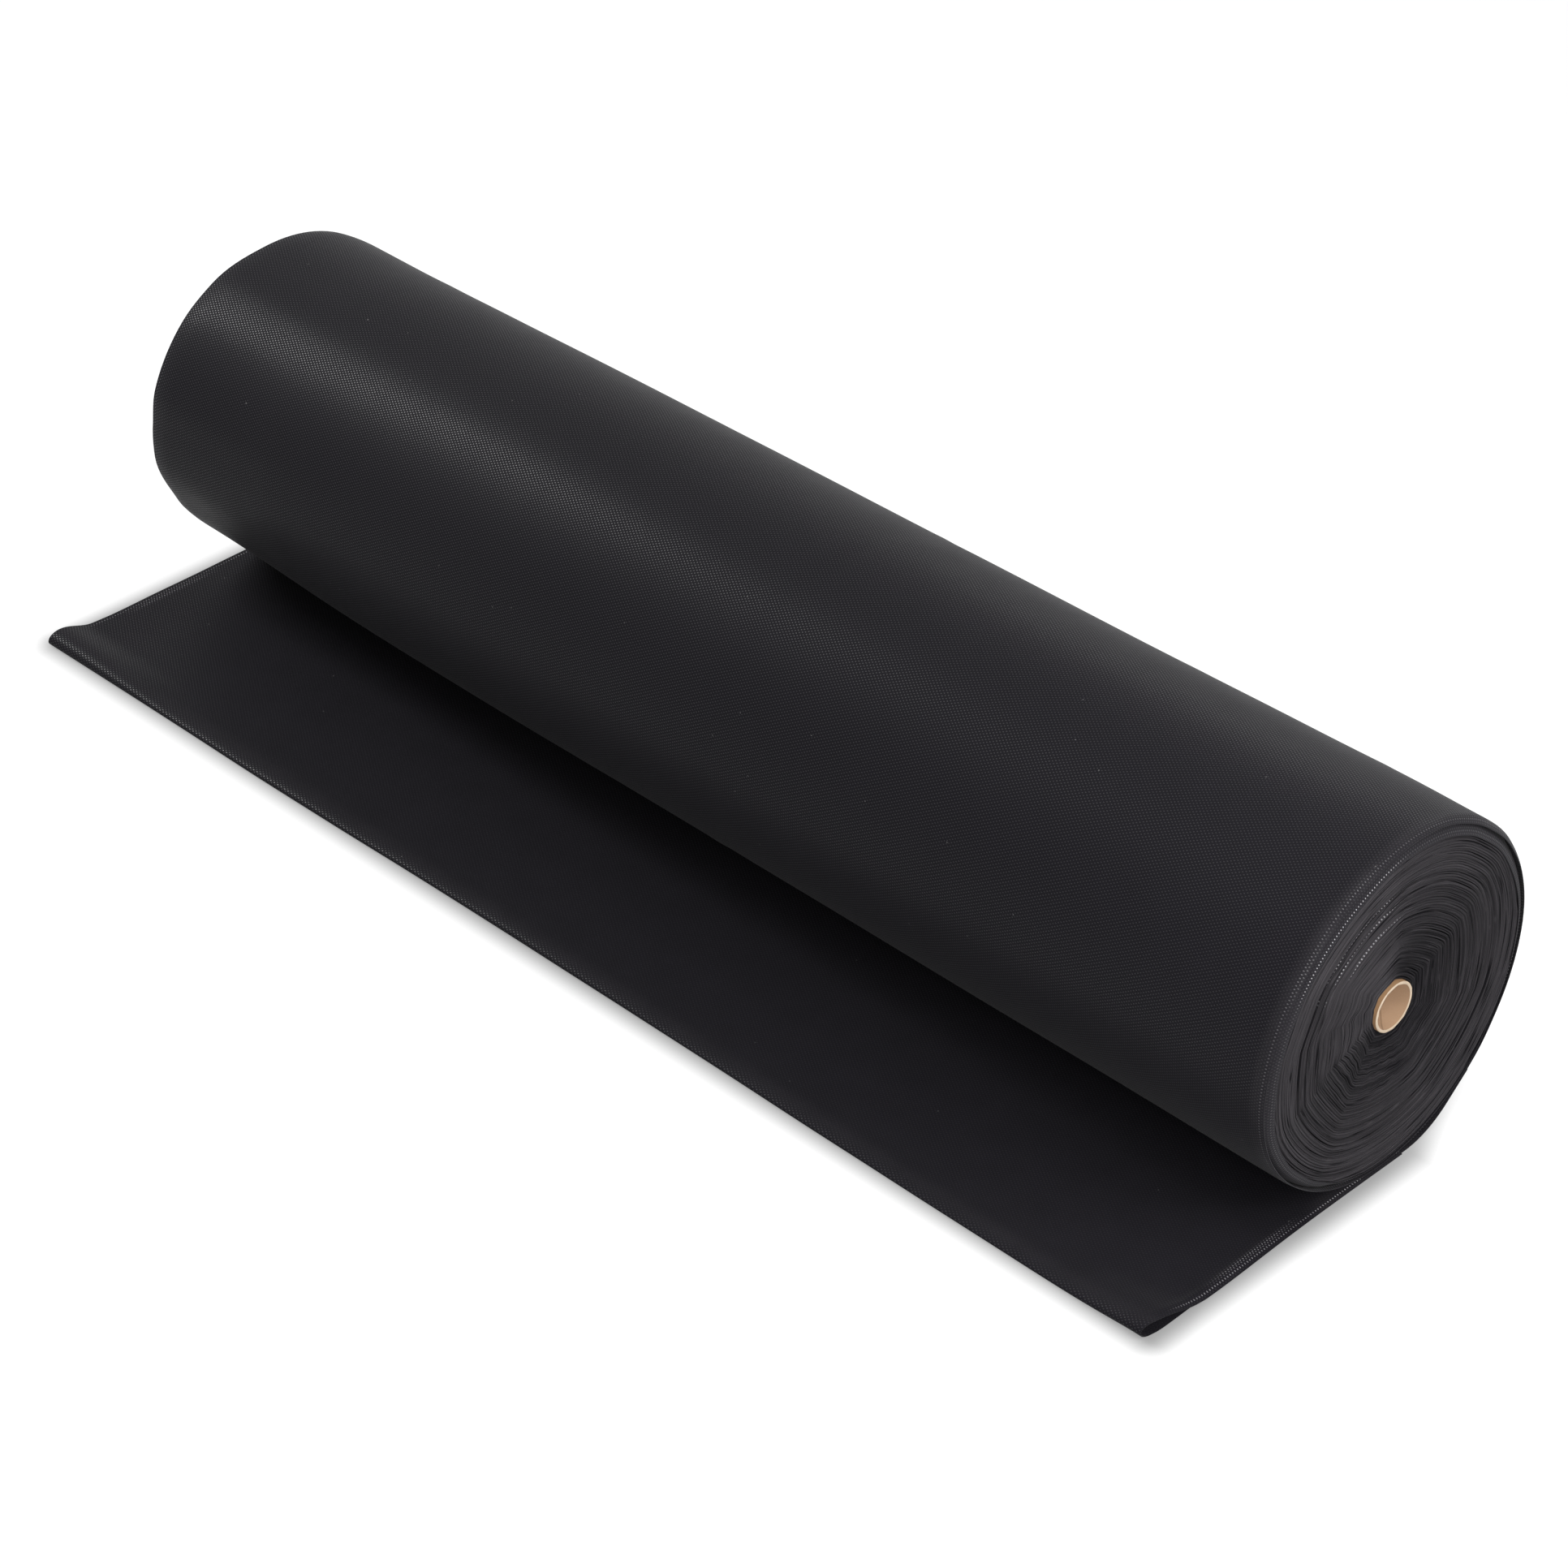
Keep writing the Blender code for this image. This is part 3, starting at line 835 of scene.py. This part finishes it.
def edge_finish():
    """Cut edges of the turns: matt fibres, fine lines for the plies, and pressed points.

    Dark and pale hairlines wander along the turns, where the contour lines of a stretched noise
    are; the dark ones and the ply lines are painted shade in the gaps between plies, the pale ones
    painted highlights on ply edges. The face has painted shade towards the core, but painted light
    makes it paler there at the front, and at the high front. It is also paler towards its rim. The
    points show as painted glints in dotted rows high at the front.
    """
    material, tree, shader = new_finish("sheet_edges")
    sheet = tree.node("ShaderNodeUVMap", {"uv_map": "sheet"})
    along, turn, _ = sheet.split()
    place = tree.node("ShaderNodeTexCoord", None, None, output=3)
    _, y, z = place.split()
    radius = ((AXIS_Y - y) ** 2 + (z - AXIS_Z) ** 2) ** 0.5
    high_front = front_share(tree, HIGH_FRONT, 0.86, 0.95)
    painted_light_front = front_share(tree, PAINTED_LIGHT_FRONT, 0.25, 0.90)
    # Painted shade darkens the face towards the core, except at the front, where painted light makes it
    # paler.
    core_painted_shade = (1 - radius.rise(0.020, 0.090)) * (1 - painted_light_front)
    core_painted_light = (1 - radius.rise(0.035, 0.080)) * painted_light_front
    plies = ((turn * PLIES_PER_TURN).fraction() - 0.5).size() * 2
    line = plies.rise(0.55, 1.0)
    streaks = sheet.stretch((6.0, 1.7, 1.0)).noise(1.0, 3.0)
    patches = sheet.stretch((14.0, 0.25, 1.0)).noise(1.0, 3.0)
    fuzz = sheet.stretch((900.0, 9.0, 1.0)).noise(1.0, 3.0)
    grooves = sheet.stretch((5.0, 0.85, 1.0)).noise(1.0, 2.0)
    crests = sheet.stretch((7.0, 1.1, 1.0)).noise(1.3, 2.0)
    groove = 1 - (grooves - 0.5).size().rise(0.004, 0.035)
    crest = 1 - (crests - 0.54).size().rise(0.003, 0.025)
    wave = (along * (2 * math.pi / POINT_PITCH_ALONG)).cosine()
    row = 0.0
    for row_radius in DOT_ROW_RADII:
        row = 1 - (radius - row_radius).size().rise(0.0002, 0.0006) + row
    broken = sheet.stretch((40.0, 0.5, 1.0)).noise(1.0, 1.0).rise(0.44, 0.54)
    # Painted glints: pale dotted rows at the listed radii, shown only at the high front.
    sparkle = wave.rise(0.2, 0.7) * row * broken * high_front
    # Painted shade and light in the tone: ply lines and groove lines are dark as shaded gaps between
    # plies, crest lines pale as lit ply edges, the core side shaded and the front lit. Streaks and patches
    # differ at random.
    tone = streaks * 1.1 + patches * 0.5 - 0.30 - line * 0.25
    tone = tone - groove * 0.60 + crest * 0.40 - core_painted_shade * 0.34 + core_painted_light * 0.22
    tone = tone + high_front * 0.10 + radius.rise(0.085, 0.100) * 0.10
    base = tone.blend(EDGE_SHADOW_COLOUR, EDGE_COLOUR)
    dotted = (sparkle * 0.8).blend(base, EDGE_GLINT_COLOUR)
    rough = 0.80 + (fuzz - 0.5) * 0.2 - sparkle * 0.4
    height = fuzz * 0.6 - line * 0.5 - groove * 1.5
    connect(shader, Base_Color=dotted, Roughness=rough, Normal=height.bump(0.00012, 0.7))
    connect(shader, Specular_IOR_Level=0.08)
    return material


wound, wound_length = wound_mesh()
wound_turns = new_piece(wound, edge_finish())
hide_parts("winding")
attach(wound_turns, "roll")

# Landing stretch
# The sheet on its way from the back of the roll to the floor. It goes straight down from the
# roll, bends on to the floor, and meets the laid sheet under the roll. Its upper end lies
# between the outer wrap and the next turn, so that the roll can turn under it.
LANDING_INSET = 0.00080
LANDING_OVERLAP = math.radians(50.0)
LANDING_NARROW = 0.013
FLOOR_BEND = 0.023
LANDING_ALONG = 3 * FIRST_TURN


def landing_mesh():
    """Side line of the stretch at each place across: floor, bend, straight run, arc.

    The straight run touches the roll at the leaving angle and meets the floor where its height
    runs out. The bend is a parabola that leaves the floor and joins the run equally far from
    that corner.
    """
    x = across_places(40)
    radius = ROLL_RADIUS - LANDING_INSET - SHEET_THICKNESS / 2
    floor = SHEET_THICKNESS / 2
    _, top_y, top_z = on_roll(x, radius, LEAVING).T
    run = (top_z - floor) / math.cos(LEAVING)
    corner_y = top_y + run * math.sin(LEAVING)
    rows = []
    start_y = laid_high.y + 0.00005
    for share in np.linspace(0.0, 1.0, 6)[:-1]:
        rows.append((start_y + (corner_y - FLOOR_BEND - start_y) * share, floor + 0 * x))
    for share in np.linspace(0.0, 1.0, 11)[:-1]:
        out = share * share * FLOOR_BEND
        back = (1 - share) * (1 - share) * FLOOR_BEND
        rows.append((corner_y - back - out * math.sin(LEAVING), floor + out * math.cos(LEAVING)))
    for share in np.linspace(0.0, 1.0, 8)[:-1]:
        place = FLOOR_BEND + (run - FLOOR_BEND) * share
        rows.append((corner_y - place * math.sin(LEAVING), floor + place * math.cos(LEAVING)))
    half = np.ones_like(x)
    halves = [half] * len(rows)
    for turned in np.linspace(0.0, LANDING_OVERLAP, 24):
        angle = LEAVING + turned
        rows.append(tuple(on_roll(x, radius, angle).T[1:]))
        narrow = LANDING_NARROW * smooth_step(turned / math.radians(8.0))
        halves.append(half - narrow / SHEET_HALF_WIDTH)
    y = np.stack([row[0] + 0 * x for row in rows])
    z = np.stack([row[1] + 0 * x for row in rows])
    wide = x * np.stack(halves)
    step = np.hypot(np.diff(y, axis=0), np.diff(z, axis=0))
    along = np.concatenate([np.zeros((1, len(x))), np.cumsum(step, axis=0)])
    points = np.stack([wide, y, z], axis=-1)
    length = float(along[-1].mean())
    places = np.stack([LANDING_ALONG + along, wide], axis=-1)
    return sheet_mesh("landing_stretch", points, places), length


landing, landing_length = landing_mesh()
landing_stretch = new_piece(landing, black_nonwoven)
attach(landing_stretch, "core")

# Laid sheet
# The flat stretch on the floor, from under the roll to where the free end can be lifted. Its
# near edge is curled down, with a low ridge beside it.
hinge_y = next(joint for joint in frame["joints"] if joint["name"] == "end_lift")["pos_m"][1]
roll_travel = next(joint for joint in frame["joints"] if joint["name"] == "roll_travel")["range_m"][1]
SEAM_Y = hinge_y + 0.004
NEAR_RIDGE = 0.0016
NEAR_RIDGE_LOW = 0.00035
NEAR_RIDGE_INSIDE = 0.0052
NEAR_RIDGE_WIDTH = 0.0034
FAR_LIFT = 0.0012
LAID_WAVE = 0.00025
SLIP_ALL = 0.0009
SLIP = 0.0025
SLIP_CREST_Y = hinge_y + 0.0095
SLIP_SPREAD = 0.058


def floor_height(x, y):
    """Height of the laid sheet over the floor: a ridge by the near edge, a slight lift of the
    far edge, and low waves. All of it dies out where the roll lies on the sheet."""
    free = smooth_step((-0.030 - y) / 0.060)
    inside = SHEET_HALF_WIDTH - x
    ridge = NEAR_RIDGE_LOW + (NEAR_RIDGE - NEAR_RIDGE_LOW) * free
    ridge *= smooth_step((laid_high.y - y) / 0.01)
    near = ridge * np.exp(-(((inside - NEAR_RIDGE_INSIDE) / NEAR_RIDGE_WIDTH) ** 2))
    near *= smooth_step(inside / 0.004 + 0.15)
    far = FAR_LIFT * free * np.exp(-(((x + SHEET_HALF_WIDTH) / 0.02) ** 2))
    waves = 1.0 + 0.6 * np.cos(23.0 * x + 31.0 * y) * np.cos(11.0 * x - 17.0 * y + 1.0)
    return near + far + LAID_WAVE * free * waves


def slip(y):
    """How far the laid sheet has slipped sideways, most in the middle of its free stretch."""
    return SLIP_ALL + SLIP * np.exp(-(((y - SLIP_CREST_Y) / SLIP_SPREAD) ** 2))


def laid_mesh():
    """Grid from the seam at the free end to the back, at the floor height of each point."""
    x = across_places(120)[None, :]
    y = np.linspace(SEAM_Y, laid_high.y, 46)[:, None]
    z = SHEET_THICKNESS / 2 + floor_height(x, y)
    points = np.stack([x + slip(y), y + 0 * x, z], axis=-1)
    return sheet_mesh("laid_stretch", points, np.stack([y + 0 * x, x + 0 * y], axis=-1))


laid_stretch = new_piece(laid_mesh(), black_nonwoven)
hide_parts("laid_sheet")
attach(laid_stretch, "laid_sheet")
1.0 - roll_travel / (laid_high.y - SEAM_Y)
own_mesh(laid_stretch)
laid_high.y - SEAM_Y

# Folded end
# The free end of the sheet, folded under along its whole width and left unpressed. The fold
# stays open as a loop at both corners, and is low in between.
fold_low, fold_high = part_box("folded_end")
FOLD_HEIGHT = 0.0044
FAR_CORNER_HEIGHT = 0.0090
NEAR_CORNER_HEIGHT = 0.0094
FAR_CORNER_SPREAD = 0.085
NEAR_CORNER_SPREAD = 0.040
UNDER_DEPTH = 0.034
NEAR_UNDER_DEPTH = 0.048
UNDER_NARROW = 0.0020
NOSE_DEPTH = 0.0100
NOSE_TIP_SHARE = 0.34
NEAR_TIP_SHARE = 0.50
UNDER_NOSE_SHARE = 0.3
NEAR_UNDER_NOSE_SHARE = 0.75
NEAR_TIP_IN = 0.0022
FOLD_WAVE = 0.00035
FOLD_RIPPLE = 0.0002
NEAR_HALF_DROP = 0.0008
LIFT_BEND = 0.032


def near_corner(x):
    """1 at the near corner of the fold, falling to 0 away from it."""
    return np.exp(-(((x - SHEET_HALF_WIDTH) / NEAR_CORNER_SPREAD) ** 2))


def fold_height(x):
    """Height of the fold's loop across the sheet: a low middle, and a rise to each corner."""
    far = np.exp(-(((x + SHEET_HALF_WIDTH) / FAR_CORNER_SPREAD) ** 2))
    near = near_corner(x)
    waves = FOLD_WAVE * np.cos(26.0 * x + 0.4) + FOLD_RIPPLE * np.cos(61.0 * x + 2.0)
    middle = FOLD_HEIGHT + waves * (1 - far) * (1 - near) - NEAR_HALF_DROP * smooth_step(x / 0.3)
    return middle + (FAR_CORNER_HEIGHT - middle) * far + (NEAR_CORNER_HEIGHT - middle) * near


# How far the fold's line lies behind its foremost place, in millimetres by metres across
FOLD_LINE = (
    (-0.50, -1.6),
    (-0.38, -0.9),
    (-0.27, -1.5),
    (-0.07, 0.7),
    (0.11, 0.8),
    (0.26, -0.2),
    (0.44, -0.3),
)


def fold_mesh():
    """Grid over the fold: top ply from the seam forwards, nose, and under ply.

    back is the way back from the fold line. The top ply rises to the loop's height over its
    smooth step. The nose is a quarter ellipse above its tip and a smaller one below it.
    """
    x = across_places(150)[None, :]
    height = fold_height(x)
    floor = SHEET_THICKNESS / 2
    front = fold_low.y + floor + eased(x, FOLD_LINE) / 1000
    near = near_corner(x)
    tip_share = NOSE_TIP_SHARE + (NEAR_TIP_SHARE - NOSE_TIP_SHARE) * near
    tip = floor + tip_share * (height - floor)
    depth = NOSE_DEPTH * (0.6 + 0.4 * height / FAR_CORNER_HEIGHT)
    start = SEAM_Y - front
    share = np.linspace(0.0, 1.0, 30)[:, None]
    top_back = start + (depth - start) * share
    under_depth = UNDER_DEPTH + (NEAR_UNDER_DEPTH - UNDER_DEPTH) * near
    over_under = 1.0 - smooth_step((top_back - under_depth) / (start - under_depth))
    laid = floor + over_under * (SHEET_THICKNESS * 1.15)
    arch = 1.0 - smooth_step((top_back - depth) / (under_depth + 0.004 - depth))
    top_z = laid + (height - laid) * arch
    top_z = top_z + floor_height(x, front + top_back) * (1.0 - 0.85 * arch)
    crest = top_z[-1]
    turned = np.linspace(0.0, math.pi / 2, 13)[1:, None]
    nose_back = depth * (1.0 - np.sin(turned))
    nose_z = tip + (crest - tip) * np.cos(turned)
    under_nose = (UNDER_NOSE_SHARE + (NEAR_UNDER_NOSE_SHARE - UNDER_NOSE_SHARE) * near) * depth
    low_back = under_nose * (1.0 - np.cos(turned[::2] + 0 * x))
    low_z = tip - (tip - floor) * np.sin(turned[::2] + 0 * x)
    run_share = np.linspace(0.0, 1.0, 9)[1:, None]
    under_back = under_nose + (under_depth - under_nose) * run_share
    under_z = floor + 0 * under_back
    back = np.concatenate([top_back, nose_back, low_back, under_back])
    z = np.concatenate([top_z, nose_z, low_z, under_z])
    y = front + back
    wide = x + slip(y)
    wide[-len(run_share):] -= UNDER_NARROW * run_share * x / SHEET_HALF_WIDTH
    wide = wide - NEAR_TIP_IN * near**4 * np.exp(-((back / NOSE_DEPTH) ** 2))
    step = np.hypot(np.diff(y, axis=0), np.diff(z, axis=0))
    along = SEAM_Y - np.concatenate([np.zeros_like(x), np.cumsum(step, axis=0)])
    length = float((SEAM_Y - along[-1]).mean())
    points = np.stack([wide, y, z], axis=-1)
    return sheet_mesh("folded_stretch", points, np.stack([along, x + 0 * y], axis=-1)), length


folded, folded_length = fold_mesh()
folded_stretch = new_piece(folded, black_nonwoven)
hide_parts("folded_end")
hinge_y - LIFT_BEND
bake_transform(folded_stretch)

# Floor, lamps and background
# A pale studio floor with a soft rim of painted shadow round the sheet over its faint real shadow,
#  a narrow soft box over the far end of the roll, lamps at and over the near end and behind the roll, and
#  an even surround.
FLOOR_SIZE = 60.0
FLOOR_COLOUR = (0.60, 0.60, 0.60)
SEEN_FLOOR_COLOUR = (0.26, 0.26, 0.26)
FLOOR_GLOW = 0.86
SHADOW_DEPTH = 0.66
SHADOW_CENTRE = (0.0048, 0.0281)
SHADOW_HALF = (0.4962, 0.1919)
SHADOW_SOFT = 0.0255
SHADOW_TURN_Y = 0.075
SHADOW_TURN = 0.44
SURROUND_STRENGTH = 0.05
LAMPS = (
    ("far_soft_box", (-1.45, -0.42, 1.20), (-0.45, -0.02, 0.22), (0.22, 0.8), 20.5),
    ("back_soft_box", (-0.46, 1.75, 1.05), (0.3, 0.0, 0.15), (1.2, 0.6), 5.0),
    ("end_soft_box", (2.0, 0.6, 1.2), (0.5, 0.05, 0.12), (1.0, 1.0), 23.0),
    ("near_soft_box", (1.15, -0.55, 0.55), (0.5, -0.05, 0.06), (0.4, 0.4), 7.0),
    ("top_soft_box", (0.62, -0.05, 0.90), (0.42, 0.02, 0.20), (0.4, 0.4), 2.7),
)


def seen_rays(tree):
    """1 for rays that show a background: to the camera, in a gloss, or through glass."""
    rays = tree.node("ShaderNodeLightPath", None, None, output="Is Camera Ray")
    gloss = tree.node("ShaderNodeLightPath", None, None, output="Is Glossy Ray")
    glass = tree.node("ShaderNodeLightPath", None, None, output="Is Transmission Ray")
    return rays.larger(gloss.larger(glass))


def painted_floor_shadow(tree):
    """Painted shadow on the floor: 1 on the open floor, less near the sheet, by the way from a rectangle a
    little inside it.

    Behind the sheet the rectangle's sides run inwards, and its shadow fades.
    """
    place = tree.node("ShaderNodeTexCoord", None, None, output=3)
    x, y, _ = place.split()
    inwards = (y - SHADOW_TURN_Y).larger(0.0) * SHADOW_TURN
    past_x = ((x - SHADOW_CENTRE[0]).size() + inwards - SHADOW_HALF[0]).larger(0.0)
    past_y = ((y - SHADOW_CENTRE[1]).size() - SHADOW_HALF[1]).larger(0.0)
    way = (past_x**2 + past_y**2) ** 0.5
    fade = 1 - y.rise(0.03, 0.22) * 0.9
    return 1 - (1 - way.rise(0.0, SHADOW_SOFT)) * fade * SHADOW_DEPTH


bpy.ops.mesh.primitive_plane_add(size=FLOOR_SIZE)
floor_plane = bpy.context.object
floor_plane.name = "floor"
floor_material = bpy.data.materials.new("pale_floor")
floor_material.use_nodes = True
floor_material.node_tree.nodes.clear()
floor_tree = Shade(floor_material.node_tree)
seen = seen_rays(floor_tree)
# light is the painted shadow round the sheet: it dims the seen floor colour and its glow.
light = painted_floor_shadow(floor_tree)
matt = floor_tree.node("ShaderNodeBsdfDiffuse", None, {"Color": as_colour(FLOOR_COLOUR)})
seen_colour = light.blend((0, 0, 0), SEEN_FLOOR_COLOUR)
seen_matt = floor_tree.node("ShaderNodeBsdfDiffuse", None, {"Color": seen_colour})
glow_sockets = {"Color": (1, 1, 1, 1), "Strength": light * FLOOR_GLOW}
glow = floor_tree.node("ShaderNodeEmission", None, glow_sockets)
bright = floor_tree.node("ShaderNodeAddShader", None, {0: seen_matt, 1: glow})
floor_look = floor_tree.node("ShaderNodeMixShader", None, {0: seen, 1: matt, 2: bright})
floor_tree.node("ShaderNodeOutputMaterial", None, {"Surface": floor_look})
floor_plane.data.materials.append(floor_material)

for name, place, aim, size, power in LAMPS:
    lamp = bpy.data.objects.new(name, bpy.data.lights.new(name, "AREA"))
    lamp.data.shape = "RECTANGLE"
    lamp.data.size, lamp.data.size_y = size
    lamp.data.energy = power
    away = np.array(place) - np.array(aim)
    away /= np.linalg.norm(away)
    side = np.cross((0.0, 0.0, 1.0), away)
    side /= np.linalg.norm(side)
    turn = np.eye(4)
    turn[:3, :4] = np.stack([side, np.cross(away, side), away, place], axis=-1)
    lamp.matrix_world = Matrix(turn.tolist())
    bpy.context.scene.collection.objects.link(lamp)

world = bpy.data.worlds.new("surround")
world.use_nodes = True
world.node_tree.nodes.clear()
sky = Shade(world.node_tree)
seen_sky = sky.node("ShaderNodeBackground", None, {"Color": (1, 1, 1, 1), "Strength": 1.0})
lit_sky = sky.node("ShaderNodeBackground", None, {"Color": (1, 1, 1, 1), "Strength": SURROUND_STRENGTH})
both = sky.node("ShaderNodeMixShader", None, {0: seen_rays(sky), 1: lit_sky, 2: seen_sky})
sky.node("ShaderNodeOutputWorld", None, {"Surface": both})
bpy.context.scene.world = world
bpy.context.scene.view_settings.view_transform = "Standard"
